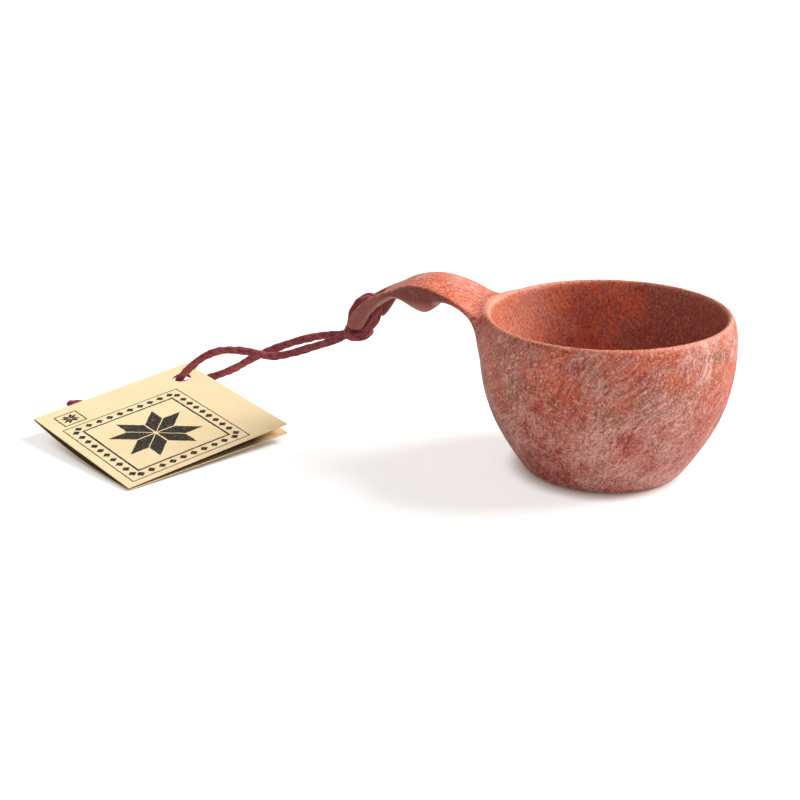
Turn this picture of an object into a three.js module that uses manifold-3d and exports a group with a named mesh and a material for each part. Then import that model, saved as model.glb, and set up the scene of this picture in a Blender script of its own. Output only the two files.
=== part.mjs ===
// A kuksa drinking cup: a round bowl and a hooked handle moulded in one piece from a
// wood-fibre composite, a cotton carrying cord hitched through the handle's eye, and a
// folded card hang tag threaded on the cord.
// Millimetres, +Z up. The bowl stands on z = 0 with its axis on Z, the handle points to -X.
import * as THREE from "three";
import { mergeVertices } from "three/addons/utils/BufferGeometryUtils.js";
import Module from "manifold-3d";

const wasm = await Module();
wasm.setup();

// ---- bowl ----
const RIM_HEIGHT = 62.6; // top of the lip
const LIP_THICKNESS = 3.9; // wall at the lip, which is rounded over
const FLOOR_THICKNESS = 4.4;
const BASE_RADIUS = 29.2; // flat ring the cup stands on
const BOWL_SEGMENTS = 64;

// ---- handle ----
const EYE_HALF_WIDTH = 3.9; // slot for the cord, two strands wide
const EYE_START = 90.4; // distance of the slot's two ends from the bowl's axis
const EYE_END = 99.4;
const END_HOLLOW = { from: 102.4, halfWidth: 4.4, top: 52.6 }; // where the strands bed in the tip's end
const SIDE_STEPS = 3; // facets on each rounded edge of the handle

// ---- cord ----
const CORD_RADIUS = 1.6; // 3.5 mm cotton cord, squeezed a little
const CORD_SIDES = 8;
const MESH_GAP = 0.3;

// ---- tag ----
const CARD = 0.45; // thickness of one leaf
const TAG_HOLE_RADIUS = 4.0;
const TAG_HOLE_IN = 10.4; // hole centre from the crease
const TAG_HOLE_ALONG = 9.3; // hole centre from the tag's side
const LEAF_GAP = 0.35; // between the two leaves at the crease
const LEAF_CELLS = 8;
const LOOSE_CORNER_DROP = 3.2; // how far the back leaf has sprung away at its loose corner
const SIDE_BOW = 2.1; // how far it bows away along the side that rests on the table
// The cover's four corners, on its upper face.
const CREASE_HIGH = new THREE.Vector3(-194.4, 20.3, 15.5);
const CREASE_LOW = new THREE.Vector3(-232.0, -45.1, 8.7);
const LOOSE_HIGH = new THREE.Vector3(-128.8, -16.6, 7.8);
const LOOSE_LOW = new THREE.Vector3(-166.4, -82.0, 1.7);

const colours = {
  cup_body: "#a8452e",
  cord_hitch: "#6f1d28",
  cord_strand_upper: "#7a2330",
  cord_strand_lower: "#641a24",
  cord_knot: "#762130",
  tag_cover: "#f0d6a4",
  tag_back: "#e4c48f",
};

const object = new THREE.Group();
object.name = "kuksa_cup";

function addNode(name, geometry, roughness) {
  const material = new THREE.MeshStandardMaterial({ color: colours[name], roughness });
  material.name = name;
  const mesh = new THREE.Mesh(geometry, material);
  mesh.name = name;
  object.add(mesh);
}

// ---- solids ----
function solidFrom(points, triangles) {
  const mesh = new wasm.Mesh({
    numProp: 3,
    vertProperties: new Float32Array(points),
    triVerts: new Uint32Array(triangles),
  });
  mesh.merge();
  return new wasm.Manifold(mesh);
}

function toSolid(geometry) {
  const plain = new THREE.BufferGeometry();
  plain.setAttribute("position", geometry.getAttribute("position"));
  if (geometry.index) plain.setIndex(geometry.index);
  const merged = mergeVertices(plain, 1e-4);
  const position = merged.getAttribute("position");
  const kept = [];
  const index = merged.index.array;
  for (let i = 0; i < index.length; i += 3) {
    const [a, b, c] = [index[i], index[i + 1], index[i + 2]];
    if (a !== b && b !== c && c !== a) kept.push(a, b, c);
  }
  const solid = solidFrom(position.array, kept);
  return solid.volume() < 0 ? solidFrom(position.array, kept.reverse()) : solid;
}

function toGeometry(solid) {
  const mesh = solid.getMesh();
  const points = new Float32Array(mesh.numVert * 3);
  for (let i = 0; i < mesh.numVert; i += 1) {
    for (let k = 0; k < 3; k += 1) points[3 * i + k] = mesh.vertProperties[mesh.numProp * i + k];
  }
  const geometry = new THREE.BufferGeometry();
  geometry.setAttribute("position", new THREE.BufferAttribute(points, 3));
  geometry.setIndex(new THREE.BufferAttribute(new Uint32Array(mesh.triVerts), 1));
  const flat = geometry.toNonIndexed();
  flat.computeVertexNormals();
  return flat;
}

// A closed skin over rings of points that all have the same count, each end closed by a fan.
function loft(rings) {
  const points = [];
  const index = [];
  const count = rings[0].length;
  for (const ring of rings) for (const p of ring) points.push(p.x, p.y, p.z);
  for (let r = 0; r + 1 < rings.length; r += 1) {
    for (let i = 0; i < count; i += 1) {
      const a = r * count + i;
      const b = r * count + ((i + 1) % count);
      index.push(a, b, b + count, a, b + count, a + count);
    }
  }
  const last = (rings.length - 1) * count;
  for (const [start, flip] of [[0, true], [last, false]]) {
    const ring = start === 0 ? rings[0] : rings[rings.length - 1];
    const middle = ring.reduce((sum, p) => sum.add(p), new THREE.Vector3());
    middle.divideScalar(count);
    const centre = points.length / 3;
    points.push(middle.x, middle.y, middle.z);
    for (let i = 0; i < count; i += 1) {
      const a = start + i;
      const b = start + ((i + 1) % count);
      index.push(centre, flip ? b : a, flip ? a : b);
    }
  }
  const geometry = new THREE.BufferGeometry();
  geometry.setAttribute("position", new THREE.Float32BufferAttribute(points, 3));
  geometry.setIndex(index);
  return geometry;
}

// ---- bowl: one turned profile outside, one inside ----
function outerProfile() {
  const wall = new THREE.SplineCurve([
    [BASE_RADIUS, 0], [31.6, 1.4], [34.3, 5.0], [39.2, 12.8], [43.9, 22.0], [47.0, 31.5],
    [48.6, 41.0], [49.0, 50.0], [48.4, 57.0], [47.4, 60.8], [46.0, RIM_HEIGHT],
  ].map(([r, z]) => new THREE.Vector2(r, z)));
  return wall.getSpacedPoints(22);
}

function innerProfile() {
  const floor = FLOOR_THICKNESS;
  const mouth = 46.0 + 0.2;
  const wall = new THREE.SplineCurve([
    [0, floor], [12, floor + 0.2], [22, floor + 1.6], [30, 9.4], [36.6, 15.4], [41.2, 23.4],
    [43.9, 32.4], [45.1, 42], [45.3, 51], [44.9, 57.5], [44.6, 60.6],
  ].map(([r, z]) => new THREE.Vector2(r, z)));
  const points = wall.getSpacedPoints(20);
  points.push(new THREE.Vector2(45.1, RIM_HEIGHT - 0.6), new THREE.Vector2(mouth, RIM_HEIGHT + 0.01));
  return points;
}

function turned(points) {
  return toSolid(new THREE.LatheGeometry(points, BOWL_SEGMENTS).rotateX(Math.PI / 2));
}

function bowlSolid() {
  const top = new THREE.Vector2(0, RIM_HEIGHT);
  return turned([new THREE.Vector2(0, 0), ...outerProfile(), top]);
}

function cavitySolid() {
  const above = RIM_HEIGHT + 20;
  const mouth = new THREE.Vector2(46.2, above);
  return turned([...innerProfile(), mouth, new THREE.Vector2(0, above)]);
}

// ---- handle: each station gives its top, its underside and its half width, and how much
// higher its top is in the middle than at its edges ----
const handleStations = [
  { top: [38, 60.0], under: [38, 46], half: 20, crown: 1.2 },
  { top: [44, 61.2], under: [44, 48.5], half: 18, crown: 1.4 },
  { top: [47.5, 62.2], under: [47.6, 54.8], half: 17.4, crown: 1.6 },
  { top: [51.5, 64.1], under: [51.6, 59.8], half: 16.6, crown: 1.7 },
  { top: [56, 66.7], under: [56.5, 62.9], half: 15.6, crown: 1.8 },
  { top: [60.5, 68.7], under: [61, 64.2], half: 14.8, crown: 1.9 },
  { top: [64.5, 70.0], under: [65.2, 63.8], half: 14.0, crown: 1.9 },
  { top: [68, 70.8], under: [67.5, 60.7], half: 13.2, crown: 1.8 },
  { top: [71.8, 71.0], under: [71.0, 59.2], half: 12.2, crown: 1.6 },
  { top: [76, 70.4], under: [75.8, 60.2], half: 11.0, crown: 1.2 },
  { top: [80.5, 69.0], under: [80.8, 62.4], half: 9.9, crown: 0.8 },
  { top: [85, 66.5], under: [85.2, 62.9], half: 8.9, crown: 0.3 },
  { top: [89.5, 64.2], under: [88.8, 61.0], half: 8.2, crown: -0.1 },
  { top: [94, 61.7], under: [92.2, 58.4], half: 7.8, crown: -0.5 },
  { top: [97.6, 59.0], under: [95.0, 55.6], half: 7.6, crown: -0.9 },
  { top: [100.3, 56.1], under: [96.9, 52.8], half: 7.4, crown: -1.1 },
  { top: [102.4, 52.9], under: [98.4, 50.4], half: 7.1, crown: -1.1 },
  { top: [103.9, 49.8], under: [99.9, 48.3], half: 6.5, crown: -1.0 },
  { top: [104.3, 48.1], under: [101.0, 47.1], half: 5.5, crown: -0.6 },
  { top: [104.2, 47.2], under: [102.2, 46.6], half: 4.0, crown: -0.3 },
];

// A rounded, crowned section from the underside to the top. `side` runs across the handle.
function handleRing({ top, under, half, crown }) {
  const low = new THREE.Vector3(-under[0], 0, under[1]);
  const up = new THREE.Vector3(-(top[0] - under[0]), 0, top[1] - under[1]);
  const thick = up.length();
  up.normalize();
  const corner = Math.min(1.4, thick * 0.45, half * 0.45);
  const ring = [];
  const put = (side, height) => {
    const drop = crown * (side / half) ** 2 * (height / thick);
    ring.push(low.clone().addScaledVector(up, height - drop).setY(side));
  };
  const corners = [[1, 0, -90], [1, 1, 0], [-1, 1, 90], [-1, 0, 180]];
  for (const [across, upper, from] of corners) {
    const middle = [across * (half - corner), upper ? thick - corner : corner];
    for (let i = 0; i <= SIDE_STEPS; i += 1) {
      const angle = THREE.MathUtils.degToRad(from + (90 * i) / SIDE_STEPS);
      put(middle[0] + corner * Math.cos(angle), middle[1] + corner * Math.sin(angle));
    }
    if (upper === 1 && across === 1) [0.5, 0, -0.5].forEach((k) => put(k * half, thick));
  }
  return ring;
}

function handleSolid() {
  const rings = handleStations.map(handleRing);
  return toSolid(loft(rings));
}

// The deeper web on the far side of the eye, which keeps the cord from slipping back.
function webSolid() {
  const outline = new THREE.Shape();
  outline.moveTo(-85.6, 64.0);
  outline.lineTo(-91.0, 62.0);
  outline.lineTo(-93.4, 57.0);
  outline.lineTo(-94.8, 52.4);
  outline.quadraticCurveTo(-94.4, 50.8, -93.1, 51.2);
  outline.quadraticCurveTo(-90.2, 54.6, -88.0, 58.6);
  const web = new THREE.ExtrudeGeometry(outline, { depth: 3.0, bevelEnabled: false, curveSegments: 4 });
  web.rotateX(Math.PI / 2);
  web.translate(0, 7.6, 0);
  return toSolid(web);
}

function eyeSolid() {
  const outline = new THREE.Shape();
  const r = EYE_HALF_WIDTH;
  outline.moveTo(EYE_START, -r + 2);
  outline.quadraticCurveTo(EYE_START, -r, EYE_START + 2, -r);
  outline.lineTo(EYE_END - 2, -r);
  outline.quadraticCurveTo(EYE_END, -r, EYE_END, -r + 2);
  outline.lineTo(EYE_END, r - 2);
  outline.quadraticCurveTo(EYE_END, r, EYE_END - 2, r);
  outline.lineTo(EYE_START + 2, r);
  outline.quadraticCurveTo(EYE_START, r, EYE_START, r - 2);
  const cut = new THREE.ExtrudeGeometry(outline, { depth: 40, bevelEnabled: false, curveSegments: 3 });
  cut.translate(0, 0, 40);
  cut.rotateZ(Math.PI);
  return toSolid(cut);
}

// The hollow across the tip's end that the strands bed in.
function endHollowSolid() {
  const { from, halfWidth, top } = END_HOLLOW;
  const [length, height] = [7, 9];
  const box = new THREE.BoxGeometry(length, 2 * halfWidth, height);
  return toSolid(box.translate(-from - length / 2, 0, top - height / 2));
}

function cupBody() {
  const outside = bowlSolid().add(handleSolid()).add(webSolid());
  const cuts = [cavitySolid(), eyeSolid(), endHollowSolid()];
  return toGeometry(cuts.reduce((rest, cut) => rest.subtract(cut), outside));
}

// ---- cord ----
const point = ([x, y, z]) => new THREE.Vector3(x, y, z);

function cordTube(route, steps) {
  const circle = new THREE.Shape();
  for (let i = 0; i < CORD_SIDES; i += 1) {
    const angle = (2 * Math.PI * i) / CORD_SIDES;
    const [x, y] = [CORD_RADIUS * Math.cos(angle), CORD_RADIUS * Math.sin(angle)];
    if (i === 0) circle.moveTo(x, y);
    else circle.lineTo(x, y);
  }
  const path = new THREE.CatmullRomCurve3(route, false, "centripetal");
  return new THREE.ExtrudeGeometry(circle, { steps, extrudePath: path, bevelEnabled: false });
}

// One leg of the lark's head: in under the handle's tip, up through the eye, over the tip,
// down its end and back beneath it, to the middle of the bight that crosses under both strands.
const hitchLeg = [
  [-109.0, 1.9, 43.0], [-105.6, 1.9, 43.8], [-102.6, 1.9, 44.6], [-100.0, 1.9, 45.7],
  [-98.2, 1.9, 47.3], [-97.0, 1.9, 49.6], [-96.0, 1.9, 52.3], [-95.2, 1.9, 55.2],
  [-95.6, 1.9, 58.0], [-97.7, 1.9, 59.5], [-100.3, 1.9, 58.9], [-102.5, 1.9, 56.6],
  [-104.1, 1.9, 53.6], [-104.5, 2.0, 50.9], [-104.8, 2.6, 48.3], [-105.5, 4.5, 45.8],
  [-104.4, 5.4, 44.3], [-102.2, 5.6, 43.7], [-100.2, 5.3, 43.5], [-98.5, 4.1, 43.5],
  [-97.6, 2.1, 43.5],
];
const bight = [-97.5, 0, 43.7];

function hitchRoute() {
  const near = hitchLeg.map(([x, y, z]) => point([x, -y, z]));
  const far = hitchLeg.map(point).reverse();
  return [...near, point(bight), ...far];
}

const upperStrand = [
  [-110.0, -1.9, 42.3], [-116.7, -1.2, 39.2], [-124.8, -0.4, 35.9], [-132.6, 0.4, 32.8],
  [-138.9, 1.0, 30.8], [-143.8, 1.6, 29.9], [-150.6, 2.3, 30.3], [-158.5, 3.0, 30.5],
  [-168.0, 4.0, 29.2], [-176.5, 4.8, 25.5], [-183.9, 5.7, 18.8], [-189.4, 6.9, 13.4],
  [-192.4, 6.2, 9.4], [-197.0, 2.2, 6.6], [-203.4, -4.9, 5.2], [-210.6, -12.6, 4.8],
].map(point);

const lowerStrand = [
  [-110.0, 1.9, 42.6], [-114.0, 2.5, 41.8], [-119.9, 3.1, 40.8], [-131.2, 4.2, 37.2],
  [-142.5, 5.3, 32.4], [-147.6, 5.8, 30.0], [-155.8, 7.7, 25.4], [-165.8, 11.7, 18.9],
  [-177.0, 15.8, 13.0], [-186.0, 17.2, 9.4], [-195.0, 13.5, 7.4], [-203.5, 5.5, 6.3],
  [-210.5, -3.5, 5.6], [-213.6, -9.6, 5.2],
].map(point);

const KNOT_CENTRE = [-215.5, -16.0, 4.8];
const KNOT_HALF_SIZE = [5.4, 4.2, 4.3];
const knotEnds = [
  [[-216.5, -16.0, 5.0], [-222, -15.8, 5.0], [-228, -16.0, 5.2], [-234, -17.8, 5.2]],
  [[-216.5, -15.0, 4.6], [-220.5, -11.5, 3.4], [-225.5, -8.6, 2.2], [-230.5, -8.4, 2.1]],
];

function knotSolid() {
  const ball = new THREE.SphereGeometry(1, 14, 10).scale(...KNOT_HALF_SIZE);
  ball.translate(...KNOT_CENTRE);
  const ends = knotEnds.map((route) => toSolid(cordTube(route.map(point), 5)));
  return ends.reduce((sum, end) => sum.add(end), toSolid(ball));
}

// ---- tag: one card folded along the line from CREASE_HIGH to CREASE_LOW ----
const tagNormal = new THREE.Vector3()
  .crossVectors(CREASE_LOW.clone().sub(CREASE_HIGH), LOOSE_HIGH.clone().sub(CREASE_HIGH))
  .normalize();

// A point on the cover's upper face: `out` runs from the crease to the loose edge and
// `down` from the high side to the low one, both 0 to 1.
function coverPoint(out, down) {
  const high = CREASE_HIGH.clone().lerp(LOOSE_HIGH, out);
  const low = CREASE_LOW.clone().lerp(LOOSE_LOW, out);
  return high.lerp(low, down);
}

function backPoint(out, down) {
  const drop = LOOSE_CORNER_DROP * out * (1 - down) + SIDE_BOW * down * Math.sin(Math.PI * out);
  const face = coverPoint(out, down).addScaledVector(tagNormal, -CARD - LEAF_GAP);
  return face.add(new THREE.Vector3(0, 0, -drop));
}

// A leaf of card: a grid of cells on its upper face and the same one a card's thickness below.
function leafSolid(facePoint) {
  const row = LEAF_CELLS + 1;
  const points = [];
  for (const depth of [0, CARD]) {
    for (let j = 0; j < row; j += 1) {
      for (let i = 0; i < row; i += 1) {
        const p = facePoint(i / LEAF_CELLS, j / LEAF_CELLS).addScaledVector(tagNormal, -depth);
        points.push(p.x, p.y, p.z);
      }
    }
  }
  const index = [];
  const quad = (a, b, c, d) => index.push(a, b, c, a, c, d);
  const below = row * row;
  for (let j = 0; j < LEAF_CELLS; j += 1) {
    for (let i = 0; i < LEAF_CELLS; i += 1) {
      const a = j * row + i;
      quad(a, a + row, a + row + 1, a + 1);
      quad(below + a, below + a + 1, below + a + row + 1, below + a + row);
    }
  }
  for (let k = 0; k < LEAF_CELLS; k += 1) {
    const end = LEAF_CELLS * row;
    quad(k, k + 1, below + k + 1, below + k);
    quad(end + k + 1, end + k, below + end + k, below + end + k + 1);
    quad((k + 1) * row, k * row, below + k * row, below + (k + 1) * row);
    const [a, b] = [k * row + LEAF_CELLS, (k + 1) * row + LEAF_CELLS];
    quad(a, b, below + b, below + a);
  }
  const geometry = new THREE.BufferGeometry();
  geometry.setAttribute("position", new THREE.Float32BufferAttribute(points, 3));
  geometry.setIndex(index);
  return toSolid(geometry).subtract(holeSolid());
}

function holeSolid() {
  const side = CREASE_HIGH.distanceTo(LOOSE_HIGH);
  const centre = coverPoint(TAG_HOLE_IN / side, TAG_HOLE_ALONG / side);
  const punch = new THREE.CylinderGeometry(TAG_HOLE_RADIUS, TAG_HOLE_RADIUS, 12, 20);
  const turn = new THREE.Quaternion().setFromUnitVectors(new THREE.Vector3(0, 1, 0), tagNormal);
  return toSolid(punch.applyQuaternion(turn).translate(centre.x, centre.y, centre.z));
}

addNode("cup_body", cupBody(), 0.6);
addNode("cord_hitch", toGeometry(toSolid(cordTube(hitchRoute(), 52))), 0.9);
addNode("cord_strand_upper", toGeometry(toSolid(cordTube(upperStrand, 24))), 0.9);
addNode("cord_strand_lower", toGeometry(toSolid(cordTube(lowerStrand, 22))), 0.9);
addNode("cord_knot", toGeometry(knotSolid()), 0.9);
addNode("tag_cover", toGeometry(leafSolid(coverPoint)), 0.8);
addNode("tag_back", toGeometry(leafSolid(backPoint)), 0.8);

export default object;
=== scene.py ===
"""A moulded kuksa cup with its carrying cord and folded card tag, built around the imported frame.

Shapes are worked out in millimetres, in the frame's own axes: the bowl stands on z = 0 with
its axis on Z and the handle points to -X. Meshes, the camera and the lights are in metres.
"""
import math

import bpy
import numpy as np
from mathutils import Euler, Matrix, Vector
from mathutils.geometry import delaunay_2d_cdt


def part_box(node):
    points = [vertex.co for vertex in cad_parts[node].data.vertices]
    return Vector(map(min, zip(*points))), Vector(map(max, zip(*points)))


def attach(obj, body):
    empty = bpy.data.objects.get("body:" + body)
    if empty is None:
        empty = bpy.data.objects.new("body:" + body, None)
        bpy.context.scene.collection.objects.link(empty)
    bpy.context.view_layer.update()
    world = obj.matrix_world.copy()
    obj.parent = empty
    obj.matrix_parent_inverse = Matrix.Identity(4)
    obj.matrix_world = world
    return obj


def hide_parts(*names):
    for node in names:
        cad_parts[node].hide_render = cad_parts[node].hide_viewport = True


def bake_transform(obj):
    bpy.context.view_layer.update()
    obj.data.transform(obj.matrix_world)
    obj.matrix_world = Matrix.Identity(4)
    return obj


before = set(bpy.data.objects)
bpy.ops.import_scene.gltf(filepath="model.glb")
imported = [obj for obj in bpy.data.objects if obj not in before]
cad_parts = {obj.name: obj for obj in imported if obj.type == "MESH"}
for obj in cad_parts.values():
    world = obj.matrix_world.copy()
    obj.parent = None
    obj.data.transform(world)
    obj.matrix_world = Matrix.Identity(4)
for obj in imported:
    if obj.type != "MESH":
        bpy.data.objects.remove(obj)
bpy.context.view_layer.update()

MM = 0.001

# ---- bowl, mm ----
RIM_HEIGHT = 62.6
CUP_CELL = 0.8  # grid step of the cup's surface
OUTER_WALL = [  # radius and height of the outside, from the foot up
    (29.2, 0), (31.6, 1.4), (34.3, 5.0), (39.2, 12.8), (43.9, 22.0), (47.0, 31.5),
    (48.6, 41.0), (49.0, 50.0), (48.4, 57.0), (47.4, 60.8), (46.0, RIM_HEIGHT),
]
INNER_WALL = [  # the inside, from the middle of the floor up
    (0, 4.4), (12, 4.6), (22, 6.0), (30, 9.4), (36.6, 15.4), (41.2, 23.4), (43.9, 32.4),
    (45.1, 42), (45.3, 51), (44.9, 57.5), (44.6, 60.6), (45.0, 62.2), (46.2, 63.6),
]
LIP_ROUNDING = 1.6
FOOT_ROUNDING = 0.9

# ---- handle, mm: distance from the bowl's axis and height of the top and of the underside,
# half width, and how much higher the top is in the middle than at its edges ----
HANDLE = [
    (38, 60.0, 38, 46, 20, 1.2), (44, 61.2, 44, 48.5, 18, 1.4),
    (47.5, 62.2, 47.6, 54.8, 17.4, 1.6), (51.5, 64.1, 51.6, 59.8, 16.6, 1.7),
    (56, 66.7, 56.5, 62.9, 15.6, 1.8), (60.5, 68.7, 61, 64.2, 14.8, 1.9),
    (64.5, 70.0, 65.2, 63.8, 14.0, 1.9), (68, 70.8, 67.5, 60.7, 13.2, 1.8),
    (71.8, 71.0, 71.0, 59.2, 12.2, 1.6), (76, 70.4, 75.8, 60.2, 11.0, 1.2),
    (80.5, 69.0, 80.8, 62.4, 9.9, 0.8), (85, 66.5, 85.2, 62.9, 8.9, 0.3),
    (89.5, 64.2, 88.8, 61.0, 8.2, -0.1), (94, 61.7, 92.2, 58.4, 7.8, -0.5),
    (97.6, 59.0, 95.0, 55.6, 7.6, -0.9), (100.3, 56.1, 96.9, 52.8, 7.4, -1.1),
    (102.4, 52.9, 98.4, 50.4, 7.1, -1.1), (103.9, 49.8, 99.9, 48.3, 6.5, -1.0),
    (104.3, 48.1, 101.0, 47.1, 5.5, -0.6), (104.2, 47.2, 102.2, 46.6, 4.0, -0.3),
]
HANDLE_EDGES = (1.2, 3.0)  # rounding along its upper edges, and along its lower ones
HANDLE_BELLY = 1.0  # how much lower the underside is in the middle than at its edges
ROOT_BLEND = 6.0  # how softly the handle grows out of the bowl
EYE = (90.4, 99.4, 3.9)  # the cord's slot: its two ends and its half width
EYE_CORNERS = 2.4  # how round the slot's corners are
END_HOLLOW = (102.4, 4.4, 52.6)  # where the strands bed in the tip: start, half width, top
HOLE_EDGES = 1.0  # rounding of the slot's and the hollow's edges
WEB = [  # the fin beneath the bend, from the side: distance from the bowl's axis, and height
    (85.6, 64.0), (91.0, 62.0), (93.4, 57.0), (94.8, 52.4), (93.9, 50.7), (92.2, 52.2),
    (88.0, 58.6),
]
WEB_SIDES = (4.6, 7.6)  # how far to the side each of the two fins begins and ends

# ---- cord, metres: the route's points, from the middle of the bight outwards ----
CORD_DIAMETER = 0.0034
CORD_LAY = 0.015  # length of one full twist of its plies
HITCH_LEG = [
    (-0.1090, 0.0019, 0.0430), (-0.1056, 0.0019, 0.0439), (-0.1024, 0.0019, 0.0449),
    (-0.0994, 0.0019, 0.0462), (-0.0972, 0.0019, 0.0480), (-0.0956, 0.0019, 0.0502),
    (-0.0946, 0.0019, 0.0527), (-0.0943, 0.0019, 0.0555), (-0.0950, 0.0019, 0.0581),
    (-0.0974, 0.0019, 0.0596), (-0.1003, 0.0019, 0.0589), (-0.1025, 0.0019, 0.0566),
    (-0.1041, 0.0019, 0.0536), (-0.1045, 0.0020, 0.0509), (-0.1048, 0.0026, 0.0483),
    (-0.1055, 0.0045, 0.0460), (-0.1044, 0.0054, 0.0447), (-0.1024, 0.0056, 0.0443),
    (-0.1008, 0.0053, 0.0443), (-0.0993, 0.0041, 0.0445), (-0.0986, 0.0021, 0.0446),
]
BIGHT = (-0.0985, 0.0, 0.0447)
UPPER_STRAND = [
    (-0.1100, -0.0019, 0.0423), (-0.1167, -0.0012, 0.0392), (-0.1248, -0.0004, 0.0359),
    (-0.1326, 0.0004, 0.0328), (-0.1389, 0.0010, 0.0308), (-0.1438, 0.0016, 0.0299),
    (-0.1506, 0.0023, 0.0303), (-0.1585, 0.0030, 0.0305), (-0.1680, 0.0040, 0.0292),
    (-0.1765, 0.0048, 0.0255), (-0.1850, 0.0063, 0.0189), (-0.1905, 0.0075, 0.0135),
    (-0.1935, 0.0068, 0.0095), (-0.1970, 0.0022, 0.0066), (-0.2034, -0.0049, 0.0052),
    (-0.2106, -0.0126, 0.0048),
]
LOWER_STRAND = [
    (-0.1100, 0.0019, 0.0426), (-0.1140, 0.0025, 0.0418), (-0.1199, 0.0031, 0.0408),
    (-0.1312, 0.0042, 0.0372), (-0.1425, 0.0053, 0.0324), (-0.1476, 0.0058, 0.0300),
    (-0.1558, 0.0077, 0.0254), (-0.1658, 0.0117, 0.0189), (-0.1770, 0.0158, 0.0130),
    (-0.1860, 0.0172, 0.0094), (-0.1950, 0.0135, 0.0074), (-0.2035, 0.0055, 0.0063),
    (-0.2105, -0.0035, 0.0056), (-0.2136, -0.0096, 0.0052),
]
UPPER_END = [(-0.2165, -0.0160, 0.0050), (-0.2220, -0.0158, 0.0050), (-0.2280, -0.0160, 0.0052),
             (-0.2340, -0.0178, 0.0052)]
LOWER_END = [(-0.2165, -0.0150, 0.0046), (-0.2205, -0.0115, 0.0034), (-0.2255, -0.0086, 0.0022),
             (-0.2305, -0.0084, 0.0021)]

# ---- tag, mm: the cover's corners on its upper face ----
CREASE_HIGH = np.array((-194.4, 20.3, 15.5))
CREASE_LOW = np.array((-232.0, -45.1, 8.7))
LOOSE_HIGH = np.array((-128.8, -16.6, 7.8))
LOOSE_LOW = np.array((-166.4, -82.0, 1.7))
CARD = 0.45
LEAF_GAP = 0.35
TAG_SIDE = float(np.linalg.norm(LOOSE_HIGH - CREASE_HIGH))
TAG_HOLE = (10.4, 9.3, 4.0)  # in from the crease, along from the high side, radius
LOOSE_CORNER_DROP = 3.2  # how far the back leaf hangs open at its loose high corner
SIDE_BOW = 2.1  # how far it bows away from the cover along its low side
TAG_NORMAL = np.cross(CREASE_LOW - CREASE_HIGH, LOOSE_HIGH - CREASE_HIGH)
TAG_NORMAL /= np.linalg.norm(TAG_NORMAL)

# ---- the print on the cover, mm: its middle, then sizes and distances from that middle ----
STAR_AT = (45.5, 44.5)
STAR_SIZE = 8.6
INNER_LINE = (21.4, 0.45)  # distance and half width
DIAMONDS = (24.4, 4.9, 1.75)  # distance, pitch and half size
OUTER_LINE = (27.4, 0.25)
BLOCK_AT = (10.5, 64.5)
BLOCK_STAR_SIZE = 1.9
BLOCK_LINE = (4.9, 0.3)

# ---- camera and light, metres and degrees ----
CAMERA_AT = (0.09834, -0.50374, 0.21828)
CAMERA_PITCH, CAMERA_ROLL, CAMERA_YAW = -20.57, -1.015, 20.0
CAMERA_LENS = 62.55
SKY_LOW = 0.98  # brightness near the horizon and overhead
SKY_HIGH = 0.08
SUN_STRENGTH = 4.25
SUN_SPREAD = 34
SUN_TOWARDS = (0.77, 0.12, 0.62)  # as seen from the camera: right, away and up
TABLE_GLOW = 0.635
TABLE_REACH = 60.0

scene = bpy.context.scene


# ---- small geometry tools ----
def smooth_line(points, spacing):
    """Points about `spacing` apart on a centripetal Catmull-Rom curve through the given ones."""
    knots = np.array(points, float)
    ends = [2 * knots[0] - knots[1], *knots, 2 * knots[-1] - knots[-2]]
    line = []
    for p0, p1, p2, p3 in zip(ends, ends[1:], ends[2:], ends[3:]):
        t = np.cumsum([0.0] + [max(np.linalg.norm(b - a), 1e-9) ** 0.5
                               for a, b in ((p0, p1), (p1, p2), (p2, p3))])
        count = max(2, int(np.linalg.norm(p2 - p1) / spacing * 4))
        u = np.linspace(t[1], t[2], count, endpoint=False)[:, None]
        a1 = ((t[1] - u) * p0 + (u - t[0]) * p1) / (t[1] - t[0])
        a2 = ((t[2] - u) * p1 + (u - t[1]) * p2) / (t[2] - t[1])
        a3 = ((t[3] - u) * p2 + (u - t[2]) * p3) / (t[3] - t[2])
        b1 = ((t[2] - u) * a1 + (u - t[0]) * a2) / (t[2] - t[0])
        b2 = ((t[3] - u) * a2 + (u - t[1]) * a3) / (t[3] - t[1])
        line.append(((t[2] - u) * b1 + (u - t[1]) * b2) / (t[2] - t[1]))
    line = np.vstack([*line, knots[-1:]])
    along = np.concatenate([[0], np.cumsum(np.linalg.norm(np.diff(line, axis=0), axis=1))])
    even = np.linspace(0, along[-1], max(2, round(along[-1] / spacing)) + 1)
    return np.stack([np.interp(even, along, c) for c in line.T], 1)


def outline_distance(points, outline):
    """Signed distance from points in a plane to a closed outline, negative inside."""
    best = np.full(len(points), np.inf)
    inside = np.zeros(len(points), bool)
    for a, b in zip(outline, np.roll(outline, -1, 0)):
        edge, away = b - a, points - a
        t = np.clip(away @ edge / max(edge @ edge, 1e-12), 0, 1)
        best = np.minimum(best, ((away - t[:, None] * edge) ** 2).sum(1))
        crosses = (a[1] > points[:, 1]) != (b[1] > points[:, 1])
        with np.errstate(divide="ignore", invalid="ignore"):
            inside ^= crosses & (points[:, 0] < a[0] + away[:, 1] * edge[0] / edge[1])
    return np.where(inside, -1, 1) * np.sqrt(best)


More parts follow.
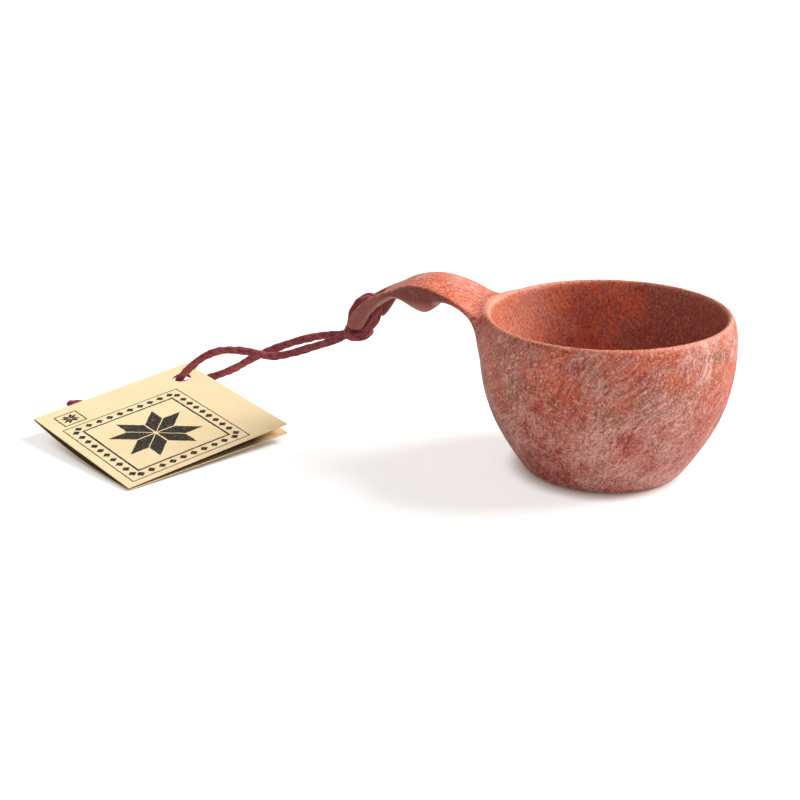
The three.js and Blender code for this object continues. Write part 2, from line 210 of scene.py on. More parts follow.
class PlaneMap:
    """Values worked out once on a fine grid in a plane, then read between its points."""

    def __init__(self, low, high, step, values_at):
        self.low, self.step = np.array(low, float), step
        self.size = ((np.array(high) - self.low) / step).astype(int) + 1
        ticks = [self.low[k] + step * np.arange(self.size[k]) for k in (0, 1)]
        u, v = np.meshgrid(*ticks, indexing="ij")
        values = values_at(np.stack([u.ravel(), v.ravel()], 1))
        self.values = values.reshape(*self.size, -1)

    def __call__(self, u, v):
        place = (np.stack([u, v], 1) - self.low) / self.step
        place = np.clip(place, 0, self.size - 1.001)
        cell = place.astype(int)
        fu, fv = (place - cell).T[:, :, None]
        grid, (i, j) = self.values, cell.T
        low = grid[i, j] * (1 - fv) + grid[i, j + 1] * fv
        high = grid[i + 1, j] * (1 - fv) + grid[i + 1, j + 1] * fv
        return low * (1 - fu) + high * fu


def join(a, b, softness):
    """Distance to two solids together, with a fillet between them."""
    return np.minimum(a, b) - np.maximum(softness - np.abs(a - b), 0) ** 2 / (4 * softness)


def cut(a, b, softness):
    """Distance to solid a with solid b taken away, with a rounded edge."""
    return -join(-a, b, softness)


def meet(a, b, rounding):
    """Distance to what two solids share, with a round edge of that radius."""
    a, b = a + rounding, b + rounding
    return np.minimum(np.maximum(a, b), 0) + np.hypot(np.maximum(a, 0), np.maximum(b, 0)) - rounding


def box_distance(away, half, rounding):
    """Distance from points, given from a box's middle, to the box with rounded edges."""
    beyond = np.abs(away) - np.array(half) + rounding
    outside = np.linalg.norm(np.maximum(beyond, 0), axis=1)
    return outside + np.minimum(beyond.max(1), 0) - rounding


# ---- the cup as one signed distance, mm ----
def wall_maps():
    """Distances to the bowl's outside and to its inside, over its radius and height."""
    low, high, step = (0, -6), (60, 84), 0.25
    outer = smooth_line(OUTER_WALL, 0.8)
    outer = np.vstack([[(-60, 0)], outer, [(-60, RIM_HEIGHT)]])
    inner = smooth_line(INNER_WALL, 0.8)
    inner = np.vstack([[(-60, INNER_WALL[0][1])], inner, [(47.5, 90), (-60, 90)]])
    return [PlaneMap(low, high, step, lambda p, line=line: outline_distance(p, line))
            for line in (outer, inner)]


def handle_stations():
    """The handle's stations, filled in smoothly between the given ones."""
    given = np.array(HANDLE, float)
    per_gap = 10
    ends = np.vstack([2 * given[0] - given[1], given, 2 * given[-1] - given[-2]])
    u = (np.arange(per_gap) / per_gap)[:, None]
    filled = []
    for p0, p1, p2, p3 in zip(ends, ends[1:], ends[2:], ends[3:]):
        bend = (2 * p0 - 5 * p1 + 4 * p2 - p3) * u ** 2 + (3 * p1 - 3 * p2 + p3 - p0) * u ** 3
        filled.append(p1 + 0.5 * ((p2 - p0) * u + bend))
    return np.vstack([*filled, given[-1:]])


def handle_map():
    """Over the handle's side view: distance to its outline, half width, crown, height in the
    handle's thickness from 0 to 1, and the direction through the thickness."""
    stations = handle_stations()
    top, under = stations[:, 0:2], stations[:, 2:4]
    outline = np.vstack([top, under[::-1]])
    rib = top - under
    length = np.linalg.norm(rib, axis=1)
    up = rib / length[:, None]

    def values_at(points):
        best = np.full(len(points), np.inf)
        nearest = np.zeros(len(points), int)
        for k in range(len(stations)):
            away = points - under[k]
            h = np.clip(away @ up[k], 0, length[k])
            far = ((away - h[:, None] * up[k]) ** 2).sum(1)
            closer = far < best
            best[closer] = far[closer]
            nearest[closer] = k
        height = ((points - under[nearest]) * up[nearest]).sum(1) / length[nearest]
        columns = [outline_distance(points, outline), stations[nearest, 4], stations[nearest, 5],
                   np.clip(height, 0, 1.2), up[nearest, 0], up[nearest, 1]]
        return np.stack(columns, 1)

    return PlaneMap((28, 38), (112, 82), 0.25, values_at)


class Cup:
    def __init__(self):
        self.outer, self.inner = wall_maps()
        self.handle = handle_map()
        web = smooth_line([*WEB, WEB[0]], 0.6)[:-1]
        self.web = PlaneMap((80, 44), (100, 70), 0.2, lambda p: outline_distance(p, web))

    def handle_distance(self, p):
        s, side, z = -p[:, 0], np.abs(p[:, 1]), p[:, 2]
        _, half, crown, height, up_s, up_z = self.handle(s, z).T
        spread = np.minimum(side / half, 1.3) ** 2
        drop = crown * spread * height + HANDLE_BELLY * (1 - spread) * (1 - np.minimum(height, 1))
        profile = self.handle(s + up_s * drop, z + up_z * drop)[:, 0]
        upper, lower = HANDLE_EDGES
        plate = meet(profile, side - half, lower + (upper - lower) * np.clip(height * 1.3, 0, 1))
        web_middle = sum(WEB_SIDES) / 2
        web_half = (WEB_SIDES[1] - WEB_SIDES[0]) / 2
        web = meet(self.web(s, z)[:, 0], np.abs(p[:, 1] - web_middle) - web_half, 0.9)
        return join(plate, web, 2.0)

    def cord_holes(self, p):
        """Distances to the slot and to the hollow that the cord lies in."""
        start, end, half = EYE
        from_middle = p[:, :2] - np.array((-(start + end) / 2, 0))
        eye = box_distance(from_middle, ((end - start) / 2, half), EYE_CORNERS)
        start, half, top = END_HOLLOW
        reach = 4.5  # far enough to pass out through the tip's end and its underside
        middle = np.array((-start - reach, 0, top - reach))
        return eye, box_distance(p - middle, (reach, half, reach), HOLE_EDGES)

    def __call__(self, p):
        """Signed distance to the cup from points of shape (n, 3)."""
        radius = np.hypot(p[:, 0], p[:, 1])
        solid = self.outer(radius, p[:, 2])[:, 0]
        by_handle = p[:, 0] < -30
        if by_handle.any():
            near = p[by_handle]
            solid[by_handle] = join(solid[by_handle], self.handle_distance(near), ROOT_BLEND)
        solid = meet(solid, -p[:, 2], FOOT_ROUNDING)
        solid = cut(solid, self.inner(radius, p[:, 2])[:, 0], LIP_ROUNDING)
        if by_handle.any():
            for hole in self.cord_holes(p[by_handle]):
                solid[by_handle] = cut(solid[by_handle], hole, HOLE_EDGES)
        return solid

    def slope(self, p):
        """The direction straight out of the surface at points near it."""
        h = 0.12
        steps = [np.array(d) * h for d in ((1, 0, 0), (0, 1, 0), (0, 0, 1))]
        g = np.stack([self(p + d) - self(p - d) for d in steps], 1)
        return g / np.maximum(np.linalg.norm(g, axis=1), 1e-9)[:, None]


def surface_net(distance, low, high, cell):
    """Vertices and quads on the zero surface: one vertex in each grid cell that it crosses."""
    shape = tuple(((np.array(high) - low) / cell).astype(int) + 1)
    axes = [low[k] + cell * np.arange(shape[k]) for k in range(3)]
    values = np.empty(shape)
    for i, x in enumerate(axes[0]):
        y, z = np.meshgrid(axes[1], axes[2], indexing="ij")
        layer = np.stack([np.full(y.size, x), y.ravel(), z.ravel()], 1)
        values[i] = distance(layer).reshape(y.shape)
    total = np.zeros((values.size, 3))
    count = np.zeros(values.size)
    quads = []
    for axis in range(3):
        unit = np.eye(3, dtype=int)[axis]
        start = values[tuple(slice(0, shape[k] - unit[k]) for k in range(3))]
        end = values[tuple(slice(unit[k], None) for k in range(3))]
        at = np.argwhere((start < 0) != (end < 0))
        v0, v1 = start[tuple(at.T)], end[tuple(at.T)]
        place = at + unit * (v0 / (v0 - v1))[:, None]
        cells = []
        for back_u, back_v in ((0, 0), (1, 0), (1, 1), (0, 1)):
            cell_at = at.copy()
            cell_at[:, (axis + 1) % 3] -= back_u
            cell_at[:, (axis + 2) % 3] -= back_v
            flat = np.ravel_multi_index(cell_at.T, shape)
            for k in range(3):
                total[:, k] += np.bincount(flat, place[:, k], values.size)
            count += np.bincount(flat, minlength=values.size)
            cells.append(flat)
        quad = np.stack(cells, 1)
        quad[v0 > 0] = quad[v0 > 0][:, ::-1]
        quads.append(quad)
    used = np.flatnonzero(count)
    number = np.zeros(values.size, int)
    number[used] = np.arange(len(used))
    vertices = np.array(low) + cell * total[used] / count[used, None]
    return vertices, number[np.vstack(quads)]


# ---- making objects ----
def add_object(name, vertices, faces, material, smooth=True):
    mesh = bpy.data.meshes.new(name)
    mesh.from_pydata([tuple(v) for v in vertices], [], [tuple(int(i) for i in f) for f in faces])
    mesh.validate()
    mesh.polygons.foreach_set("use_smooth", [smooth] * len(mesh.polygons))
    mesh.materials.append(material)
    obj = bpy.data.objects.new(name, mesh)
    scene.collection.objects.link(obj)
    return obj


def set_attribute(obj, name, values):
    """Stores three numbers on each vertex, for the material to read."""
    layer = obj.data.attributes.new(name, "FLOAT_VECTOR", "POINT")
    layer.data.foreach_set("vector", np.asarray(values, np.float32).ravel())


# ---- material tools ----
class Shader:
    """A new material with a Principled BSDF, and short ways to add and link nodes."""

    def __init__(self, name):
        self.material = bpy.data.materials.new(name)
        self.material.use_nodes = True
        self.tree = self.material.node_tree
        self.bsdf = next(n for n in self.tree.nodes if n.type == "BSDF_PRINCIPLED")

    def node(self, kind, inputs=(), **settings):
        n = self.tree.nodes.new("ShaderNode" + kind)
        for key, value in settings.items():
            setattr(n, key, value)
        for key, value in dict(inputs).items():
            self.set(n.inputs[key], value)
        return n

    def set(self, socket, value):
        if isinstance(value, bpy.types.NodeSocket):
            self.tree.links.new(value, socket)
        else:
            socket.default_value = value

    def finish(self, **inputs):
        for key, value in inputs.items():
            self.set(self.bsdf.inputs[key.replace("_", " ")], value)
        return self.material

    def math(self, operation, a, b=0.0, c=0.0, clamp=False):
        n = self.node("Math", {0: a, 1: b, 2: c}, operation=operation, use_clamp=clamp)
        return n.outputs[0]

    def add(self, a, b):
        return self.math("ADD", a, b)

    def less(self, a, b):
        return self.math("SUBTRACT", a, b)

    def times(self, a, b):
        return self.math("MULTIPLY", a, b)

    def ramp(self, value, low, high, to_low=0.0, to_high=1.0):
        """A smooth step of value from low to high, mapped to the two results."""
        n = self.node("MapRange", {0: value, 1: low, 2: high, 3: to_low, 4: to_high},
                      interpolation_type="SMOOTHSTEP")
        return n.outputs[0]

    def scaled(self, vector, scale):
        return self.node("VectorMath", {0: vector, 1: scale}, operation="MULTIPLY").outputs[0]

    def plus(self, vector, other):
        return self.node("VectorMath", {0: vector, 1: other}, operation="ADD").outputs[0]

    def combine(self, x, y, z):
        return self.node("CombineXYZ", {0: x, 1: y, 2: z}).outputs[0]

    def noise(self, vector, scale, detail=4.0, roughness=0.55, colour=False, warp=0.0):
        n = self.node("TexNoise", {"Vector": vector, "Scale": scale, "Detail": detail,
                                   "Roughness": roughness, "Distortion": warp})
        return n.outputs["Color" if colour else "Fac"]

    def mix(self, amount, a, b, blend="MIX"):
        n = self.node("Mix", data_type="RGBA", blend_type=blend)
        for socket, value in ((n.inputs[0], amount), (n.inputs[6], a), (n.inputs[7], b)):
            self.set(socket, value)
        return n.outputs[2]

    def bump(self, height, distance, strength=1.0, normal=None):
        inputs = {"Height": height, "Distance": distance, "Strength": strength}
        if normal is not None:
            inputs["Normal"] = normal
        return self.node("Bump", inputs).outputs[0]


def rgb(r, g, b):
    """A shader colour from an sRGB one, 0 to 255."""
    def linear(c):
        c /= 255
        return c / 12.92 if c <= 0.04045 else ((c + 0.055) / 1.055) ** 2.4
    return (linear(r), linear(g), linear(b), 1.0)


ROSE = rgb(206, 112, 96)
BRICK = rgb(184, 64, 50)
ORANGE = rgb(226, 106, 66)
BLOOM = rgb(226, 162, 152)
SHADE = rgb(118, 50, 46)
OLIVE = rgb(142, 92, 50)
CREAM = rgb(255, 210, 182)
UMBER = rgb(96, 38, 32)


def around_zero(s, value, gain):
    """A noise from 0 to 1, centred on zero and multiplied."""
    return s.times(s.less(value, 0.5), gain)


def flow_lines(s, place):
    """Noise coordinates that run with the fibres. They flowed out from the middle of the base,
    up the bowl with a slight twist, over the lip and along the handle."""
    x, y, z = s.node("SeparateXYZ", {0: place}).outputs
    radius = s.math("MAXIMUM", s.math("SQRT", s.add(s.times(x, x), s.times(y, y))), 8.0)
    drift = s.plus(s.noise(place, 0.03, 1.0, colour=True), (-0.5, -0.5, -0.5))
    travelled = s.times(s.add(z, radius), 0.008)
    around = s.combine(s.math("DIVIDE", x, radius), s.math("DIVIDE", y, radius), travelled)
    around = s.node("VectorRotate", {"Vector": around, "Angle": s.times(z, -0.012)},
                    rotation_type="Z_AXIS").outputs[0]
    return radius, s.plus(around, s.scaled(drift, (0.6, 0.6, 0.4)))


def mottling(s, place, flow, z, inside):
    """Clouds of red, orange and rose with paler dust, olive stains and fine wisps."""
    patches = s.noise(place, 0.055, 5.0, 0.60, warp=0.6)
    clouds = s.noise(s.plus(place, (40, 90, 10)), 0.065, 5.0, 0.62, warp=0.7)
    stains = s.noise(s.plus(place, (-70, 20, 55)), 0.085, 6.0, 0.66, warp=0.6)
    streaks = s.noise(flow, 8.5, 8.0, 0.70, warp=0.15)
    wisps = s.noise(s.plus(flow, (3, 7, 1)), 21.0, 6.0, 0.70, warp=0.2)
    strokes = s.noise(s.plus(flow, (9, 2, 5)), 13.0, 4.0, 0.55)
    outside = s.less(1.0, s.times(inside, 0.75))

    reds = s.add(s.less(clouds, 0.5), around_zero(s, streaks, 0.7))
    colour = s.mix(s.ramp(reds, -0.06, 0.08), ROSE, BRICK)
    warm = s.ramp(s.add(patches, around_zero(s, wisps, 0.5)), 0.54, 0.40)
    upwards = s.math("MAXIMUM", s.ramp(z, 26.0, 58.0, 0.05, 0.75), inside)
    colour = s.mix(s.times(upwards, warm), colour, ORANGE)

    dust = s.add(around_zero(s, patches, 3.4), around_zero(s, streaks, 3.0))
    dust = s.add(dust, s.times(s.ramp(z, 52.0, 10.0), 0.45))
    colour = s.mix(s.times(s.ramp(dust, -0.2, 1.0, 0.0, 0.75), outside), colour, BLOOM)

    band = s.times(s.ramp(z, 26.0, 42.0), s.ramp(z, 62.5, 56.0))
    stain = s.add(around_zero(s, stains, 3.4), around_zero(s, wisps, 2.0))
    stained = s.times(s.times(s.ramp(stain, 0.05, 0.50, 0.0, 0.75), band), outside)
    colour = s.mix(stained, colour, OLIVE)

    colour = s.mix(s.times(s.ramp(wisps, 0.49, 0.36, 0.0, 0.7), outside), colour, SHADE)
    colour = s.mix(s.times(s.ramp(wisps, 0.53, 0.66, 0.0, 0.65), outside), colour, BLOOM)
    hair = s.math("ABSOLUTE", s.less(strokes, 0.5))
    lines = s.times(s.times(s.ramp(hair, 0.022, 0.004), s.ramp(patches, 0.44, 0.56)), outside)
    colour = s.mix(s.times(lines, 0.55), colour, CREAM)
    return colour, patches, wisps, dust


def painted_light_on_bowl_and_lip(s, colour, place, radius, patches, inside):
    """Painted light and shade in the bowl: paler orange painted light on the inner wall towards the
    handle's side, dark painted shade on the inner wall opposite, more orange above z = 60, a little pale
    rose inside, and a paler, warmer lip whose paleness is a painted highlight.
    """
    x, y, z = s.node("SeparateXYZ", {0: place}).outputs
    away = s.add(s.times(x, 0.94), s.times(y, 0.34))
    # Painted light: the inner wall on the handle's side is made a paler orange, as if lit from across the
    # bowl.
    painted_light_left_wall = s.times(inside, s.ramp(away, 2.0, -34.0, 0.0, 0.5))
    colour = s.mix(painted_light_left_wall, colour, rgb(240, 142, 108))
    # Painted shade: the inner wall opposite is darkened, as if turned away from the light.
    painted_shade_reach = s.add(away, around_zero(s, patches, 60.0))
    painted_shade_right_wall = s.times(inside, s.ramp(painted_shade_reach, 0.0, 32.0, 0.0, 0.75))
    colour = s.mix(painted_shade_right_wall, colour, rgb(112, 62, 60))
    colour = s.mix(s.times(s.ramp(z, 60.0, 62.4), 0.45), colour, ORANGE)
    colour = s.mix(s.times(inside, 0.22), colour, rgb(196, 134, 114))
    # Painted highlight: a pale band along the top of the lip.
    lip = s.times(s.ramp(z, 61.2, 62.3), s.ramp(radius, 48.6, 47.0))
    return s.mix(s.times(lip, 0.45), colour, rgb(252, 172, 142))


def speckle(s, colour, fibres, grain, inside):
    """Pale and dark flecks, the fibres' own and the finer grain between them."""
    colour = s.mix(s.ramp(fibres, 0.54, 0.70, 0.0, 0.3), colour, CREAM)
    colour = s.mix(s.ramp(fibres, 0.46, 0.31, 0.0, 0.45), colour, UMBER)
    paler = s.less(1.0, s.times(inside, 0.5))
    colour = s.mix(s.times(s.ramp(grain, 0.53, 0.68, 0.0, 0.5), paler), colour, CREAM)
    return s.mix(s.ramp(grain, 0.47, 0.32, 0.0, 0.6), colour, UMBER)


def handle_painted_shade_and_bounce(s, colour, radius, z, sides, under):
    """Pale pink painted light from the table beneath the handle, and dark painted shade on its sides,
    which fades at its bulge, painted light from the table again, and towards its tip.
    """
    # Painted light: the underside is paled to pink, as light thrown up from the table.
    colour = s.mix(s.times(under, 0.65), colour, rgb(204, 152, 144))
    # Painted shade: the handle's side edges are darkened; low on the bulge they are paler, painted light
    # from the table, and they turn paler again towards the tip.
    along_bulge = s.times(s.ramp(radius, 62.0, 67.0), s.ramp(radius, 86.0, 80.0))
    bulge = s.times(s.ramp(z, 64.5, 60.0), along_bulge)
    side = s.mix(bulge, rgb(102, 42, 34), rgb(188, 122, 112))
    side = s.mix(s.ramp(radius, 84.0, 97.0, 0.0, 0.6), side, rgb(172, 98, 86))
    return s.mix(s.times(sides, 0.8), colour, side)


def composite_material():
    """Mottled terracotta composite of wood fibre and resin, with painted light and shade in the bowl, on
    its lip and on the handle.
    """
    s = Shader("wood_fibre_composite")
    place = s.scaled(s.node("TexCoord").outputs["Object"], (1000, 1000, 1000))
    z = s.node("SeparateXYZ", {0: place}).outputs[2]
    zones = s.node("Attribute", attribute_name="zones").outputs["Vector"]
    sides, under, inside = s.node("SeparateXYZ", {0: zones}).outputs
    radius, flow = flow_lines(s, place)
    fibres = s.noise(flow, 54.0, 3.0, 0.62)
    grain = s.noise(place, 1.05, 3.0, 0.64)

    colour, patches, wisps, dust = mottling(s, place, flow, z, inside)
    colour = painted_light_on_bowl_and_lip(s, colour, place, radius, patches, inside)
    colour = speckle(s, colour, fibres, grain, inside)
    colour = handle_painted_shade_and_bounce(s, colour, radius, z, sides, under)

    height = s.add(s.times(fibres, 0.6), s.times(grain, 0.7))
    height = s.add(height, s.times(wisps, 0.8))
    rough = s.ramp(s.add(grain, s.times(dust, 0.2)), 0.3, 0.8, 0.46, 0.66)
    return s.finish(Base_Color=colour, Roughness=rough, Normal=s.bump(height, 0.0003, 0.6),
                    Specular_IOR_Level=0.42)


def cotton_material():
    """Burgundy cotton: fine yarns along the plies, painted shade down in the grooves between them, a soft
    sheen and paler fluff on top.
    """
    s = Shader("burgundy_cotton")
    thread = s.node("Attribute", attribute_name="thread").outputs["Vector"]
    across, along, groove = s.node("SeparateXYZ", {0: thread}).outputs
    place = s.scaled(s.node("TexCoord").outputs["Object"], (1000, 1000, 1000))
    yarns = s.math("SINE", s.add(s.times(across, 15.0), s.times(s.noise(place, 0.9), 3.0)))
    fluff = s.noise(s.combine(s.times(across, 3.0), s.times(along, 1.1), 0.0), 1.6, 4.0, 0.65)
    worn = s.noise(place, 0.16, 3.0, 0.6)
    colour = s.mix(s.ramp(worn, 0.35, 0.65), rgb(148, 54, 66), rgb(190, 88, 96))
    # Painted shade: darker down in the grooves between the plies.
    colour = s.mix(s.ramp(groove, 0.0, 0.7, 0.6, 0.0), colour, rgb(74, 22, 32))
    colour = s.mix(s.ramp(yarns, 0.1, -1.0, 0.0, 0.6), colour, rgb(84, 24, 34))
    colour = s.mix(s.ramp(fluff, 0.50, 0.66, 0.0, 0.75), colour, rgb(224, 140, 144))
    height = s.add(s.times(yarns, 0.35), s.times(fluff, 0.9))
    return s.finish(Base_Color=colour, Roughness=0.86, Normal=s.bump(height, 0.00022, 0.8),
                    Specular_IOR_Level=0.2, Sheen_Weight=0.35, Sheen_Roughness=0.5,
                    Sheen_Tint=rgb(240, 170, 165))


def card_colour(s, place):
    """Cream kraft card: cloudy, with short fibres and a few dark specks."""
    cloud = s.noise(place, 0.06, 4.0, 0.6)
    fibre = s.noise(s.scaled(place, (0.5, 2.2, 1.0)), 0.9, 4.0, 0.7)
    speck = s.noise(place, 1.3, 1.0, 0.5)
    colour = s.mix(s.ramp(cloud, 0.3, 0.7), rgb(249, 222, 174), rgb(253, 229, 184))
    colour = s.mix(s.ramp(fibre, 0.52, 0.70, 0.0, 0.35), colour, rgb(228, 196, 145))
    colour = s.mix(s.ramp(speck, 0.70, 0.76, 0.0, 0.45), colour, rgb(176, 136, 92))
    return colour, fibre


def star_mask(s, x, y, size):
    """An eight-pointed knitted star: eight leaning petals with a thin gap between them."""
    a, b = s.math("ABSOLUTE", x), s.math("ABSOLUTE", y)
    longer, shorter = s.math("MAXIMUM", a, b), s.math("MINIMUM", a, b)
    lean = s.less(longer, shorter)
    gap, edge = 0.035 * size, 0.012 * size
    inside = [s.ramp(shorter, gap - edge, gap + edge), s.ramp(shorter, size + edge, size - edge),
              s.ramp(lean, gap - edge, gap + edge), s.ramp(lean, size + edge, size - edge)]
    return s.times(s.times(inside[0], inside[1]), s.times(inside[2], inside[3]))


def diamond_border_mask(s, x, y, ring, pitch, size):
    """Small diamonds in a row along the sides of a square, `ring` from its middle."""
    a, b = s.math("ABSOLUTE", x), s.math("ABSOLUTE", y)
    beyond = s.math("ABSOLUTE", s.less(s.math("MAXIMUM", a, b), ring))
    along = s.math("MINIMUM", a, b)
    step = s.math("ABSOLUTE", s.less(s.math("FRACT", s.math("DIVIDE", along, pitch)), 0.5))
    reach = s.add(s.times(step, pitch), beyond)
    return s.ramp(reach, size + 0.12, size - 0.12)


def line_mask(s, x, y, ring, half_width):
    """A line round a square, `ring` from its middle."""
    a, b = s.math("ABSOLUTE", x), s.math("ABSOLUTE", y)
    beyond = s.math("ABSOLUTE", s.less(s.math("MAXIMUM", a, b), ring))
    return s.ramp(beyond, half_width + 0.1, half_width - 0.1)


def cover_print(s, spot):
    """Where the ink lies: a knitted star in a border, and a small block near the fold."""
    wobble = s.plus(s.noise(spot, 0.5, 3.0, colour=True), (-0.5, -0.5, -0.5))
    place = s.plus(spot, s.scaled(wobble, (0.7, 0.7, 0)))
    across, down, upper = s.node("SeparateXYZ", {0: place}).outputs
    x, y = s.less(across, STAR_AT[0]), s.less(down, STAR_AT[1])
    bx, by = s.less(across, BLOCK_AT[0]), s.less(down, BLOCK_AT[1])
    ink = star_mask(s, x, y, STAR_SIZE)
    for mask in (line_mask(s, x, y, *INNER_LINE), diamond_border_mask(s, x, y, *DIAMONDS),
                 line_mask(s, x, y, *OUTER_LINE), star_mask(s, bx, by, BLOCK_STAR_SIZE),
                 line_mask(s, bx, by, *BLOCK_LINE)):
        ink = s.math("MAXIMUM", ink, mask)
    wear = s.ramp(s.noise(spot, 2.4, 3.0, 0.7), 0.30, 0.40, 0.25, 1.0)
    return s.times(s.times(ink, wear), s.ramp(upper, 0.5, 0.9))


def leaf_gap_painted_shade(s, spot):
    """Painted shade between the leaves: the back leaf's inner face is darkened, stopping short of its
    loose high corner.
    """
    across, down, upper = s.node("SeparateXYZ", {0: spot}).outputs
    out = s.less(across, TAG_SIDE)
    from_corner = s.math("SQRT", s.add(s.times(out, out), s.times(down, down)))
    return s.times(s.ramp(from_corner, 5.0, 17.0, 0.0, 0.9), s.ramp(upper, 0.5, 0.9))


def card_material(printed):
    s = Shader("printed_card" if printed else "plain_card")
    spot = s.node("Attribute", attribute_name="card").outputs["Vector"]
    colour, fibre = card_colour(s, spot)
    if printed:
        colour = s.mix(cover_print(s, spot), colour, rgb(44, 38, 32))
    else:
        # The back leaf's inner face gets the painted shade between the leaves.
        colour = s.mix(leaf_gap_painted_shade(s, spot), colour, rgb(74, 48, 26))
    return s.finish(Base_Color=colour, Roughness=0.72, Normal=s.bump(fibre, 0.00006, 0.5),
                    Specular_IOR_Level=0.35)


# ---- pieces ----
def step_up(values, low, high):
    """A smooth step from 0 at low to 1 at high."""
    t = np.clip((values - low) / (high - low), 0, 1)
    return t * t * (3 - 2 * t)


def cup_zones(cup, vertices):
    """How much each point lies on the handle's side edges, on its underside and in the bowl."""
    out = cup.slope(vertices)
    radius = np.hypot(vertices[:, 0], vertices[:, 1])
    on_handle = step_up(-vertices[:, 0], 52, 62)
    sides = on_handle * step_up(np.abs(out[:, 1]), 0.45, 0.9)
    under = on_handle * step_up(-out[:, 2], 0.05, 0.5)
    to_axis = -(out[:, :2] * vertices[:, :2]).sum(1) / np.maximum(radius, 1)
    inwards = to_axis + np.maximum(out[:, 2], 0)
    inside = (radius < 45.6) * (vertices[:, 2] > 3) * step_up(inwards, 0.3, 0.8)
    return np.stack([sides, under, inside], 1)


def make_cup(cup):
    low, high = (-107.0, -51.5, -1.7), (51.5, 51.5, 73.5)
    vertices, quads = surface_net(cup, np.array(low), np.array(high), CUP_CELL)
    for _ in range(3):
        vertices = vertices - cup.slope(vertices) * cup(vertices)[:, None]
    obj = add_object("cup_shell", vertices * MM, quads, composite_material())
    set_attribute(obj, "zones", cup_zones(cup, vertices))
    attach(obj, "cup")
    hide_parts("cup_body")


def twisted_tube(path, diameter, lay, sides=27, plies=3):
    """Rings of points round a path for a cord of twisted plies, and what its material reads:
    the angle within the twist, the distance along, and how far out of the grooves it is."""
    step = np.gradient(path, axis=0)
    along = np.concatenate([[0], np.cumsum(np.linalg.norm(np.diff(path, axis=0), axis=1))])
    ahead = step / np.linalg.norm(step, axis=1)[:, None]
    side = np.cross(ahead[0], (0.3, 0.2, 1.0))
    rings, thread = [], []
    angles = np.linspace(0, 2 * math.pi, sides, endpoint=False)
    for k, (centre, forward) in enumerate(zip(path, ahead)):
        side = side - forward * (side @ forward)
        side /= np.linalg.norm(side)
        other = np.cross(forward, side)
        turn = 2 * math.pi * along[k] / lay
        lobe = np.abs(np.cos((angles - turn) * plies / 2))
        swell = 1 + 0.05 * math.sin(along[k] * 410) + 0.035 * math.sin(along[k] * 1130 + 1.3)
        reach = diameter / 2 * swell * (0.91 + 0.09 * lobe ** 0.7)
        outwards = np.cos(angles)[:, None] * side + np.sin(angles)[:, None] * other
        rings.append(centre + reach[:, None] * outwards)
        thread.append(np.stack([angles - turn, np.full(sides, along[k] * 1000), lobe], 1))
    return np.array(rings), np.array(thread)


def tube_faces(rings, sides):
    faces = []
    for r in range(rings - 1):
        for i in range(sides):
            a, b = r * sides + i, r * sides + (i + 1) % sides
            faces.append((a, b, b + sides, a + sides))
    faces.append(tuple(reversed(range(sides))))
    faces.append(tuple(range((rings - 1) * sides, rings * sides)))
    return faces


def round_ends(rings, count=5):
    """Draws the last few rings at both ends together, as a cut and singed end."""
    for ends in (range(count), range(len(rings) - 1, len(rings) - 1 - count, -1)):
        for k, r in enumerate(ends):
            middle = rings[r].mean(0)
            rings[r] = middle + (rings[r] - middle) * math.sin((k + 0.6) / (count + 0.6) * math.pi / 2)
    return rings


def cord_route():
    near = [(x, -y, z) for x, y, z in HITCH_LEG]
    far = HITCH_LEG[::-1]
    return [*UPPER_END[::-1], *UPPER_STRAND[::-1], *near, BIGHT, *far, *LOWER_STRAND, *LOWER_END]


def make_cord(cup, cotton):
    path = smooth_line(cord_route(), 0.0004)
    rings, thread = twisted_tube(path, CORD_DIAMETER, CORD_LAY)
    rings = round_ends(rings)
    sides = rings.shape[1]
    points = rings.reshape(-1, 3)
    by_cup = np.flatnonzero(points[:, 0] > -0.112)
    for _ in range(2):
        inside = cup(points[by_cup] / MM)
        push = np.maximum(0.06 - inside, 0)[:, None] * cup.slope(points[by_cup] / MM)
        points[by_cup] += push * MM
    obj = add_object("carrying_cord", points, tube_faces(len(rings), sides), cotton)
    set_attribute(obj, "thread", thread)
    obj.visible_shadow = False
    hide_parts("cord_hitch", "cord_strand_upper", "cord_strand_lower")
    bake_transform(obj)
    length = float(np.linalg.norm(np.diff(path, axis=0), axis=1).sum())
    return obj, path, length


def make_knot(cotton):
    """The two ends are tied together in an overhand knot: two turns wrapped round them."""
    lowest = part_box("cord_knot")[0][2]
    centre = np.array((-0.2150, -0.0150, 0.0050))
    axis = np.array(UPPER_END[1]) - np.array(UPPER_STRAND[-1])
    axis /= np.linalg.norm(axis)
    side = np.cross(axis, (0, 0, 1.0))
    side /= np.linalg.norm(side)
    up = np.cross(side, axis)
    turns, reach, spread = 2.3, 0.0027, 0.0031
    path = []
    for t in np.linspace(0, 1, 160):
        angle = 2 * math.pi * turns * t
        ease = math.sin(math.pi * t) ** 0.35
        lift = 0.8 if up[2] > 0 else -0.8
        across = side * math.cos(angle) * 1.15 + up * math.sin(angle) * lift
        path.append(centre + axis * spread * (2 * t - 1) + across * reach * (0.35 + 0.65 * ease))
    path = smooth_line(path[::4], 0.0004)
    rings, thread = twisted_tube(path, CORD_DIAMETER * 0.9, CORD_LAY)
    points = round_ends(rings).reshape(-1, 3)
    points[:, 2] = np.maximum(points[:, 2], lowest)
    obj = add_object("knot_turns", points, tube_faces(len(rings), rings.shape[1]), cotton)
    set_attribute(obj, "thread", thread)
    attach(obj, "strap")
    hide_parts("cord_knot")
    return obj


